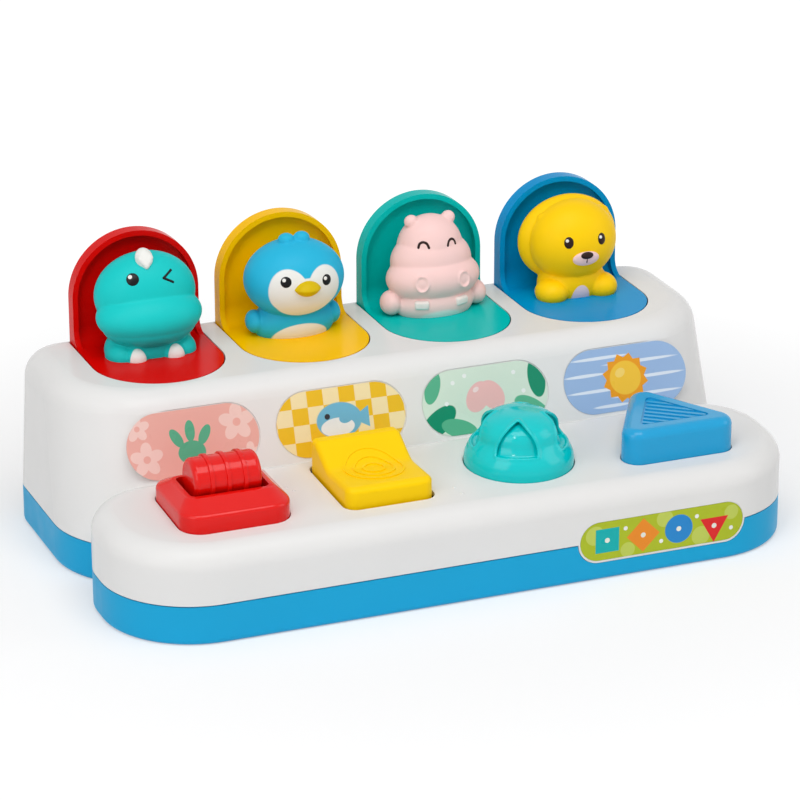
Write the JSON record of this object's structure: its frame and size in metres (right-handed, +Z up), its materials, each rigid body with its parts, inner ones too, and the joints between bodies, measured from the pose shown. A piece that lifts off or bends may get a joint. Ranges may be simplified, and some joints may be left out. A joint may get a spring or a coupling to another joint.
{
  "type": "pop up animal toy",
  "caption": "Two-lobed mechanical pop-up toy with spring-loaded animal lids along the back and a roller, rocking key, turning knob and push button on the front deck.",
  "frame": {"origin": "centre of the bounding box, on the flat underside", "axes": "+X along the row of lids, from the red lid to the blue lid; +Y towards the hinges; +Z up"},
  "size_m": [0.322, 0.176, 0.1347],
  "materials": {
    "shell": "glossy",
    "tray": "satin",
    "lid_red": "glossy",
    "lid_yellow": "glossy",
    "lid_teal": "glossy",
    "lid_blue": "glossy",
    "dinosaur": "soft matte",
    "penguin": "soft matte",
    "hippo": "soft matte",
    "lion": "soft matte",
    "sticker_red": "gloss laminate",
    "sticker_yellow": "gloss laminate",
    "sticker_teal": "gloss laminate",
    "sticker_blue": "gloss laminate",
    "label": "gloss laminate",
    "roller": "glossy",
    "key": "satin",
    "knob": "glossy",
    "button": "satin",
    "inner_plastic": "matte",
    "steel": "bright zinc plated"
  },
  "bodies": {
    "case": {"top_shell": "shell", "base_tray": "tray", "case_screws": "steel", "deck_screws": "steel", "front_label": "label", "sticker_red": "sticker_red", "sticker_yellow": "sticker_yellow", "sticker_teal": "sticker_teal", "sticker_blue": "sticker_blue", "roller_bezel": "roller", "roller_axle": "steel", "key_pin": "steel", "knob_collar": "inner_plastic", "knob_spring": "steel", "hinge_pin_1": "steel", "lid_spring_1": "steel", "arm_spring_1": "steel", "hinge_pin_2": "steel", "lid_spring_2": "steel", "arm_spring_2": "steel", "hinge_pin_3": "steel", "lid_spring_3": "steel", "arm_spring_3": "steel", "hinge_pin_4": "steel", "lid_spring_4": "steel", "arm_spring_4": "steel"},
    "pop_up_red": {"lid_red": "lid_red", "dinosaur_figure": "dinosaur", "figure_screw_1": "steel"},
    "pop_up_yellow": {"lid_yellow": "lid_yellow", "penguin_figure": "penguin", "figure_screw_2": "steel"},
    "pop_up_teal": {"lid_teal": "lid_teal", "hippo_figure": "hippo", "figure_screw_3": "steel"},
    "pop_up_blue": {"lid_blue": "lid_blue", "lion_figure": "lion", "figure_screw_4": "steel"},
    "drum": {"roller_drum": "roller"},
    "arm_1": {"release_arm_1": "inner_plastic"},
    "key": {"yellow_key": "key"},
    "arm_2": {"release_arm_2": "inner_plastic"},
    "knob": {"twist_knob": "knob", "knob_cam": "inner_plastic", "knob_screw": "steel"},
    "arm_3": {"release_arm_3": "inner_plastic"},
    "button": {"blue_button": "button", "release_arm_4": "inner_plastic"}
  },
  "joints": [
    {"name": "red_lid_hinge", "type": "hinge", "parent": "case", "child": "pop_up_red", "pos_m": [-0.105, 0.06865, 0.07585], "axis": [1, 0, 0], "range_deg": [0, 90], "stiffness_Nm_per_rad": 0.02, "springref_deg": -68.75},
    {"name": "yellow_lid_hinge", "type": "hinge", "parent": "case", "child": "pop_up_yellow", "pos_m": [-0.035, 0.06865, 0.07585], "axis": [1, 0, 0], "range_deg": [0, 90], "stiffness_Nm_per_rad": 0.02, "springref_deg": -68.75},
    {"name": "teal_lid_hinge", "type": "hinge", "parent": "case", "child": "pop_up_teal", "pos_m": [0.035, 0.06865, 0.07585], "axis": [1, 0, 0], "range_deg": [0, 90], "stiffness_Nm_per_rad": 0.02, "springref_deg": -68.75},
    {"name": "blue_lid_hinge", "type": "hinge", "parent": "case", "child": "pop_up_blue", "pos_m": [0.105, 0.06865, 0.07585], "axis": [1, 0, 0], "range_deg": [0, 90], "stiffness_Nm_per_rad": 0.02, "springref_deg": -68.75},
    {"name": "roller_spin", "type": "hinge", "parent": "case", "child": "drum", "pos_m": [-0.105, -0.0464, 0.0595], "axis": [-1, 0, 0], "range_deg": [0, 45]},
    {"name": "release_slide_1", "type": "slide", "parent": "case", "child": "arm_1", "axis": [0, 0, -1], "range_m": [0, 0.004], "stiffness_N_per_m": 20, "springref_m": -0.0065, "deforming": ["arm_spring_1"]},
    {"name": "key_rock", "type": "hinge", "parent": "case", "child": "key", "pos_m": [-0.035, -0.0245, 0.037], "axis": [1, 0, 0], "range_deg": [0, 7], "stiffness_Nm_per_rad": 0.736, "springref_deg": -5.9},
    {"name": "release_slide_2", "type": "slide", "parent": "case", "child": "arm_2", "axis": [0, 0, -1], "range_m": [0, 0.004], "stiffness_N_per_m": 1, "springref_m": -0.045, "deforming": ["arm_spring_2"]},
    {"name": "knob_turn", "type": "hinge", "parent": "case", "child": "knob", "pos_m": [0.035, -0.0464, 0.0395], "axis": [0, 0, 1], "range_deg": [0, 45], "stiffness_Nm_per_rad": 0.033, "springref_deg": -31.51},
    {"name": "release_slide_3", "type": "slide", "parent": "case", "child": "arm_3", "axis": [0, 0, -1], "range_m": [0, 0.004], "stiffness_N_per_m": 1, "springref_m": -0.045, "deforming": ["arm_spring_3"]},
    {"name": "button_slide", "type": "slide", "parent": "case", "child": "button", "axis": [0, 0, -1], "range_m": [0, 0.004], "stiffness_N_per_m": 500, "springref_m": -0.004, "deforming": ["arm_spring_4"]}
  ],
  "couplings": [
    {"joint": "roller_spin", "follows": "release_slide_1", "rad_per_m": 196.34},
    {"joint": "release_slide_2", "follows": "key_rock", "m_per_rad": 0.03274},
    {"joint": "release_slide_3", "follows": "knob_turn", "m_per_rad": 0.005092}
  ]
}
